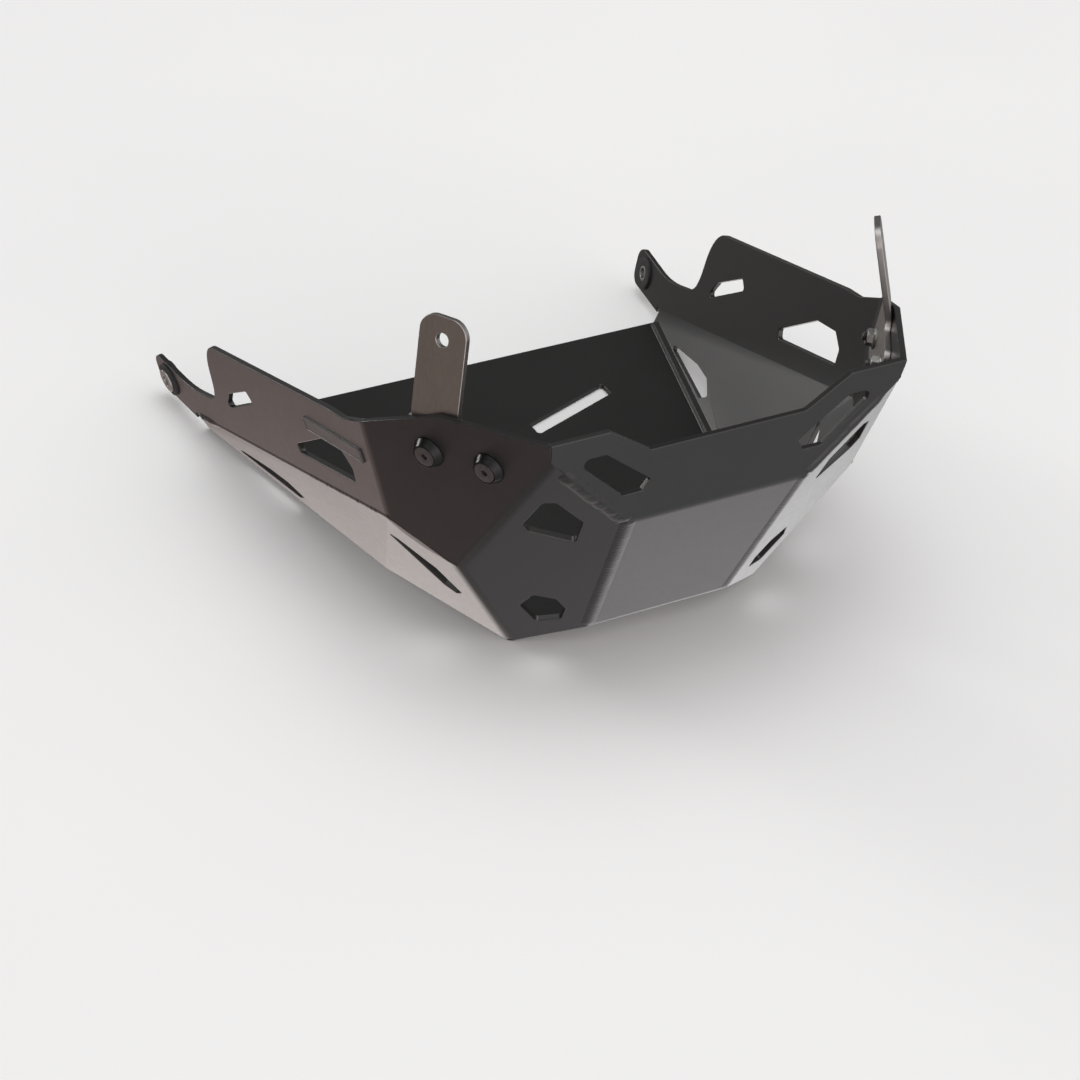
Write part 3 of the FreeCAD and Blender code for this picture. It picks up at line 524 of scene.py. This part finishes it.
def flank_bead(side, seed):
    """Long seam: smooth and broad at the front, thin and ragged in the middle, a blob at the rear end."""
    rng = random.Random(seed)
    p5, p8, s2 = mirror(P5, side), mirror(P8, side), mirror(S2, side)
    runs = [(p5, p8, mirror(N3, side), mirror(N1B, side)), (p8, s2, mirror(N2, side), mirror(N1A, side))]
    len1, len2 = (p8 - p5).length, (s2 - p8).length
    total = len1 + len2
    frames = []
    for a, b, na, nb in runs:
        d = (b - a).normalized()
        ta, tb = seam_dirs(d, na, nb)
        frames.append((a, d, ta, tb, na, nb))

    def shape(s):
        t = (s - len1) / len2
        back = smooth((t - 0.88) / 0.05)
        half = 0.0024 + 0.0018 * back
        crown = 0.00026 + 0.00060 * back
        radius = 0.0010 + 0.0006 * back
        return t, half, crown, radius, back

    def ridge(s):
        """Front run: the flank's face runs on over the chamfer as a low ridge."""
        return smooth(s / 0.03) * (1.0 - smooth((s - len1 + 0.014) / 0.022))

    n = int(total / 0.00045)
    stations = []
    for i in range(n + 1):
        s = 0.001 + (total - 0.003) * i / n
        w = smooth((s - len1 + 0.006) / 0.012)
        p = frames[0][0] + frames[0][1] * s if s < len1 else frames[1][0] + frames[1][1] * (s - len1)
        fields = [(frames[0][k] * (1.0 - w) + frames[1][k] * w).normalized() for k in (2, 3, 4, 5)]
        half = shape(s)[1]
        over = ridge(s)
        stations.append((s, p, fields[0] * (half - 0.0012 * over), fields[1] * (half + 0.0061 * over), fields[2], fields[3]))
    turns = [math.tan(f[4].angle(f[5]) / 2.0) for f in frames]
    spots = scales(rng, total, 0.0034, 0.0098)
    amp = [rng.uniform(0.15, 1.0) for _ in spots]

    def height(s, v):
        end = smooth((s - 0.001) / 0.008) * smooth((total - 0.002 - s) / 0.004)
        t, half, crown, radius, back = shape(s)
        turn = turns[0] if s < len1 else turns[1]
        rough = smooth((t - 0.03) / 0.03) * (1.0 - smooth((t - 0.34) / 0.05))
        k, u = find(spots, max(s + 0.0010 * v * v, 0.0))
        dome = max(0.0, 1.0 - v * v)
        lump = amp[k] * (1.0 - (1.0 - u) ** 2) * (1.0 - smooth((u - 0.75) / 0.25))
        over = ridge(s)
        h = soft_corner(turn, radius, half, crown, v) * (1.0 - over)
        if v > 0:
            h += 0.00125 * over * v * (1.0 - smooth((v - 0.68) / 0.27))
        h += 0.00044 * rough * lump * dome ** 0.55 + 0.0005 * back * lump * dome
        h += 0.00005 * noise.noise(Vector((s * 420.0, v * 3.0, seed))) * dome
        return h * end - 0.0003 * (1.0 - end) - (0.00012 if abs(v) > 0.995 else 0.0)

    mesh = bead(("left" if side > 0 else "right") + "_flank_bead", stations, 20, height, 0.0007)
    return put_in(mesh.name, mesh, [COAT_WELD])


def keel_bead(side, seed):
    rng = random.Random(seed)

    def foot(n, p, x):
        q = p - n * T
        return Vector((x, q.y - (n.x * (x - q.x) + n.z * (T - q.z)) / n.y, T))

    n1b, n1a = N1B, N1A
    a, b, c = foot(n1b, P4, (139.6 - 22.0) * MM), foot(n1a, B1, 31.0 * MM), foot(n1a, B1, (-187.0 + 3.0) * MM)
    up = Vector((0, 0, 1))
    frames = []
    for u, w, n in ((a, b, n1b), (b, c, n1a)):
        d = (w - u).normalized()
        ta, tb = seam_dirs(d, up, -n, concave=True)
        frames.append((u, d, ta, tb, up, -n))
    len1, len2 = (b - a).length, (c - b).length
    total = len1 + len2
    n = int(total / 0.0005)
    stations = []
    for i in range(n + 1):
        s = total * i / n
        k = 0 if s < len1 else 1
        p = frames[0][0] + frames[0][1] * s if k == 0 else frames[1][0] + frames[1][1] * (s - len1)
        w = smooth((s - len1 + 0.008) / 0.016)
        f = [(frames[0][j] * (1.0 - w) + frames[1][j] * w).normalized() for j in (2, 3, 4, 5)]
        stations.append((s, mirror(p, side), mirror(f[0], side) * 0.0040, mirror(f[1], side) * 0.0040, mirror(f[2], side), mirror(f[3], side)))
    spots = scales(rng, total, 0.0030, 0.0046)
    amp = [rng.uniform(0.00012, 0.00030) for _ in spots]
    opening = frames[0][2].angle(frames[0][3])
    lift = 0.0040 * math.cos(opening / 2.0)

    def height(s, v):
        end = smooth(s / 0.003) * smooth((total - s) / 0.003)
        k, u = find(spots, max(s + 0.0016 * v * v, 0.0))
        dome = 1.0 - v * v
        ripple = amp[k] * math.sin(math.pi * u) * dome ** 0.6
        h = lift * (1.0 - abs(v)) + 0.00045 * dome + ripple
        return h * (0.35 + 0.65 * end) - 0.0001

    mesh = bead(("left" if side > 0 else "right") + "_keel_bead", stations, 16, height, 0.0006)
    return put_in(mesh.name, mesh, [COAT_WELD])


for side, tag in ((1, "left"), (-1, "right")):
    hand_over(upper_bead(side, 11 if side > 0 else 23), "weld_coat", tag + "_upper_weld")
    hand_over(lower_bead(side, 5 if side > 0 else 9), "weld_coat", tag + "_lower_weld")
    hand_over(flank_bead(side, 17 if side > 0 else 31), "weld_coat", tag + "_flank_weld")
    hand_over(keel_bead(side, 41 if side > 0 else 43), "weld_coat", tag + "_keel_weld")


# ------------------------------------------------------------------ fasteners
SEG = 96


def lathe(name, pts):
    prof = rounded_profile(pts)
    return rings_mesh(name, [circle_ring(r, z, SEG) for r, z in prof], True)


def cup_mesh():
    return lathe("cup", [(3.3, 0.0, 0.0), (10.3, 0.0, 0.12), (10.3, 0.8, 0.35), (8.9, 3.1, 2.2), (7.7, 5.4, 0.45), (7.0, 5.4, 0.2), (3.3, 1.7, 0.0)])


def screw_mesh():
    ang = [2 * math.pi * i / SEG for i in range(SEG)]

    def hexring(apothem, z):
        return [(hex_radius(apothem, t) * math.cos(t), hex_radius(apothem, t) * math.sin(t), z) for t in ang]

    rings = [hexring(1.98 * MM, 3.1 * MM), hexring(1.99 * MM, 5.05 * MM), hexring(2.0 * MM, 5.26 * MM), hexring(2.14 * MM, 5.38 * MM)]
    rings += [circle_ring(2.9 * MM, 5.4 * MM, SEG), circle_ring(6.2 * MM, 5.4 * MM, SEG), circle_ring(6.5 * MM, 5.36 * MM, SEG), circle_ring(6.67 * MM, 5.22 * MM, SEG)]
    rings += [circle_ring(6.7 * MM, 5.1 * MM, SEG), circle_ring(3.0 * MM, 1.4 * MM, SEG), circle_ring(3.0 * MM, -12.0 * MM, SEG)]
    pitch = 1.0 * MM
    for k in range(57):
        z = -12.0 * MM - 4.1 * MM * k / 56.0
        ring = []
        for t in ang:
            ph = ((z / pitch) - t / (2 * math.pi)) % 1.0
            tri = abs(2.0 * ph - 1.0)
            r = 3.0 * MM - 0.5 * MM * smooth((0.75 - tri) / 0.55) * smooth(k / 6.0)
            ring.append((r * math.cos(t), r * math.sin(t), z))
        rings.append(ring)
    rings += [circle_ring(2.35 * MM, -16.5 * MM, SEG)]
    return rings_mesh("screw", rings, False, (0, 0, 2.3 * MM), (0, 0, -16.5 * MM))


def nut_mesh():
    ang = [2 * math.pi * i / SEG for i in range(SEG)]
    rings = []
    for r, z in rounded_profile([(3.05, 0.0, 0.0), (7.1, 0.0, 0.15), (7.1, 0.95, 0.3)])[:-1]:
        rings.append(circle_ring(r, z, SEG))
    for k in range(9):
        f = k / 8.0
        z = (1.15 + 0.75 * f) * MM
        rings.append([(max(hex_radius(5.0 * MM, t), 7.0 * MM - (7.0 - 5.0) * MM * f) * math.cos(t), max(hex_radius(5.0 * MM, t), 7.0 * MM - (7.0 - 5.0) * MM * f) * math.sin(t), z) for t in ang])
    for k in range(10):
        f = k / 9.0
        z = (4.9 + 1.1 * f) * MM
        cone = (5.9 - 1.15 * f) * MM
        rings.append([(min(hex_radius(5.0 * MM, t), cone) * math.cos(t), min(hex_radius(5.0 * MM, t), cone) * math.sin(t), z) for t in ang])
    rings += [circle_ring(3.5 * MM, 6.0 * MM, SEG), circle_ring(3.05 * MM, 5.6 * MM, SEG)]
    return rings_mesh("nut", rings, True)


def grommet_mesh():
    return lathe("grommet", [(6.0, -4.0, 0.3), (13.0, -4.0, 0.9), (13.0, -2.0, 0.0), (9.0, -2.0, 0.0), (9.0, 2.0, 0.0), (13.0, 2.0, 0.0), (13.0, 4.0, 0.9), (6.0, 4.0, 0.3)])


def sleeve_mesh():
    return lathe("sleeve", [(4.25, -4.0, 0.3), (6.0, -4.0, 0.2), (6.0, 4.0, 0.0), (9.0, 4.0, 0.15), (9.0, 5.5, 0.45), (4.25, 5.5, 0.35)])


MAKE = {"cup": (cup_mesh(), CUP), "screw": (screw_mesh(), SCREW), "nut": (nut_mesh(), ZINC), "grommet": (grommet_mesh(), RUBBER), "sleeve": (sleeve_mesh(), ZINC)}
for mesh, mat in MAKE.values():
    mesh.materials.append(mat)
    mesh.polygons.foreach_set("use_smooth", [True] * len(mesh.polygons))
    mesh.set_sharp_from_angle(angle=math.radians(33.0))
    own = mesh.attributes.new("own_place", "FLOAT_VECTOR", "POINT")
    own.data.foreach_set("vector", [c for v in mesh.vertices for c in v.co])


def place(kind, name, origin, z, x, slot, node):
    mesh = MAKE[kind][0].copy()
    mesh.name = name
    mesh.transform(axes_at(origin, z, x))
    o = bpy.data.objects.new(name, mesh)
    SCENE.collection.objects.link(o)
    return hand_over(o, slot, node)


for side, tag in ((1, "left"), (-1, "right")):
    n3, n2, h3 = mirror(N3, side), mirror(N2, side), mirror(H3, side)
    for k, w in enumerate((W1, W2)):
        p = mirror(w, side)
        spin = Matrix.Rotation(0.5 + 1.1 * k + (0.7 if side > 0 else 0.0), 3, n3) @ h3
        place("cup", "%s_cup_%d" % (tag, k + 1), p, n3, h3, "cup_black", "cup_washers")
        place("screw", "%s_screw_%d" % (tag, k + 1), p, n3, spin, "screw_steel", "flank_screws")
        place("nut", "%s_nut_%d" % (tag, k + 1), p - n3 * (T + 4.0 * MM), -n3, spin, "nut_zinc", "flange_nuts")
    t = mirror(TAIL, side) - n2 * (T / 2.0)
    place("grommet", tag + "_grommet", t, n2, Vector((1, 0, 0)), "grommet_rubber", "tail_grommets")
    place("sleeve", tag + "_sleeve", t, n2, Vector((1, 0, 0)), "sleeve_steel", "tail_sleeves")


# ------------------------------------------------------------------ blank badge plates
def badge_mesh():
    """Plate with rounded corners, a raised border and a bare field."""
    lx, ly = 42.0, 5.0

    def outline(inset, radius, z):
        pts = []
        for cx, cy, start in ((lx - radius, ly - radius, 0), (-lx + radius, ly - radius, 90), (-lx + radius, -ly + radius, 180), (lx - radius, -ly + radius, 270)):
            for k in range(7):
                t = math.radians(start + 15.0 * k)
                rr = max(radius - inset, 0.05)
                pts.append(((cx + rr * math.cos(t)) * MM, (cy + rr * math.sin(t)) * MM, z * MM))
        return pts

    rings = [outline(0.0, 1.2, 0.0), outline(0.0, 1.2, 0.9), outline(0.08, 1.2, 1.2), outline(0.3, 1.2, 1.38), outline(0.45, 1.2, 1.4), outline(0.85, 1.2, 1.4), outline(0.98, 1.2, 1.36), outline(1.12, 1.2, 1.12)]
    mesh = rings_mesh("badge", rings, False)
    bm = bmesh.new()
    bm.from_mesh(mesh)
    bm.verts.ensure_lookup_table()
    n = len(rings[0])
    bm.faces.new([bm.verts[i] for i in range(n)])
    bm.faces.new([bm.verts[(len(rings) - 1) * n + i] for i in range(n)])
    bmesh.ops.recalc_face_normals(bm, faces=bm.faces)
    bm.to_mesh(mesh)
    bm.free()
    return mesh


for side, tag in ((1, "left"), (-1, "right")):
    n2 = mirror(N2, side)

    def on_flank(x, z):
        q = mirror(TAIL, side)
        return Vector((x * MM, q.y - (n2.x * (x * MM - q.x) + n2.z * (z * MM - q.z)) / n2.y, z * MM))

    along = on_flank(10.0, 10.0 * math.tan(math.radians(14.2))) - on_flank(0.0, 0.0)
    mesh = badge_mesh()
    o = put_in(tag + "_badge_plate", mesh, [BADGE])
    sharpen(o, 30.0)
    o.matrix_world = axes_at(on_flank(75.7, 142.1), n2, along)
    hand_over(o, "badge_plate", tag + "_badge")


# ------------------------------------------------------------------ stage
def floor():
    m, g, b, where = material("pale_floor")
    soft = g.noise(where, 1.5, 2.0, 0.5)
    fine = g.noise(where, 420.0, 2.0, 0.5)
    g.put(b, Base_Color=g.ramp(soft, [(0.3, (0.87, 0.87, 0.87)), (0.7, (0.90, 0.90, 0.898))]), Roughness=g.span(fine, 0.3, 0.7, 0.75, 0.9))
    b.inputs["Specular IOR Level"].default_value = 0.1
    size = 60.0
    mesh = bpy.data.meshes.new("floor")
    mesh.from_pydata([(-size, -size, -0.0003), (size, -size, -0.0003), (size, size, -0.0003), (-size, size, -0.0003)], [], [(0, 1, 2, 3)])
    o = put_in("floor", mesh, [m], smooth=False)
    o.visible_glossy = False
    o.visible_shadow = False
    return o


floor()

# soft studio light: an even upper dome with broad, soft patches round and below the object
LOBES = [
    # direction, sharpness, colour
    ((0.0, 0.0, 1.0), 11.0, (3.15, 3.20, 3.20)),
    ((1.0, 0.0, 0.15), 4.0, (2.62, 2.46, 2.46)),
    ((0.0, 1.0, 0.0), 6.0, (0.62, 0.65, 0.65)),
    ((-1.0, -0.2, 0.0), 6.0, (0.22, 0.22, 0.22)),
    ((-0.65, -0.29, -0.70), 25.0, (0.34, 0.20, 0.18)),
    ((-0.146, -0.63, -0.763), 25.0, (0.130, 0.078, 0.075)),
    ((0.0, 0.0, -1.0), 30.0, (0.185, 0.178, 0.187)),
    ((0.55, 0.35, -0.756), 15.0, (0.22, 0.28, 0.30)),
    ((-0.077, 0.351, -0.932), 30.0, (0.83, 0.78, 0.80)),
    ((-0.609, 0.012, -0.793), 40.0, (1.40, 1.33, 1.27)),
    ((-0.62, 0.20, -0.76), 30.0, (0.55, 0.48, 0.48)),
    ((-0.43, 0.50, -0.75), 30.0, (1.86, 1.85, 1.86)),
    ((0.055, -0.963, -0.26), 10.0, (0.21, 0.14, 0.10)),
    ((-0.835, -0.511, 0.20), 110.0, (17.0, 16.6, 16.4)),
    ((-0.422, -0.332, -0.844), 60.0, (1.30, 1.12, 1.07)),
]
BASE = (0.045, 0.045, 0.045)


def light_world():
    world = bpy.data.worlds.new("studio_light")
    SCENE.world = world
    world.use_nodes = True
    world.node_tree.nodes.clear()
    g = Graph(world.node_tree)
    out = g.add("ShaderNodeOutputWorld")
    back = g.add("ShaderNodeBackground")
    g.tree.links.new(back.outputs["Background"], out.inputs["Surface"])
    unit = g.add("ShaderNodeVectorMath", operation="NORMALIZE")
    g.tree.links.new(g.add("ShaderNodeTexCoord").outputs["Generated"], unit.inputs[0])
    total = None
    for direction, sharp, colour in LOBES:
        dot = g.add("ShaderNodeVectorMath", operation="DOT_PRODUCT")
        g.tree.links.new(unit.outputs["Vector"], dot.inputs[0])
        dot.inputs[1].default_value = Vector(direction).normalized()
        soft = g.math("EXPONENT", g.math("MULTIPLY", g.math("SUBTRACT", dot.outputs["Value"], 1.0), sharp))
        lit = g.add("ShaderNodeVectorMath", operation="SCALE")
        lit.inputs[0].default_value = colour
        g.tree.links.new(soft, lit.inputs["Scale"])
        if total is None:
            total = g.add("ShaderNodeVectorMath", operation="ADD")
            g.tree.links.new(lit.outputs["Vector"], total.inputs[0])
            total.inputs[1].default_value = BASE
        else:
            more = g.add("ShaderNodeVectorMath", operation="ADD")
            g.tree.links.new(total.outputs["Vector"], more.inputs[0])
            g.tree.links.new(lit.outputs["Vector"], more.inputs[1])
            total = more
    g.tree.links.new(total.outputs["Vector"], back.inputs["Color"])
    back.inputs["Strength"].default_value = 1.0


light_world()
SCENE.view_settings.view_transform = "Standard"
SCENE.view_settings.look = "None"

# camera at the photograph's place: right, up and back directions of the view
cam = bpy.data.cameras.new("camera")
cam.lens = 2300.0 / 1080.0 * 36.0
cam.sensor_width = 36.0
cam.sensor_fit = "HORIZONTAL"
cam.clip_start, cam.clip_end = 0.05, 60.0
eye = bpy.data.objects.new("camera", cam)
SCENE.collection.objects.link(eye)
right, up, back = Vector((0.4237, 0.9058, 0.0083)).normalized(), Vector((-0.5223, 0.2368, 0.8192)), Vector((0.74, -0.3514, 0.5734)).normalized()
up = back.cross(right).normalized()
eye.matrix_world = Matrix(((right.x, up.x, back.x, 1.2170), (right.y, up.y, back.y, -0.5814), (right.z, up.z, back.z, 0.9089), (0, 0, 0, 1)))
SCENE.camera = eye
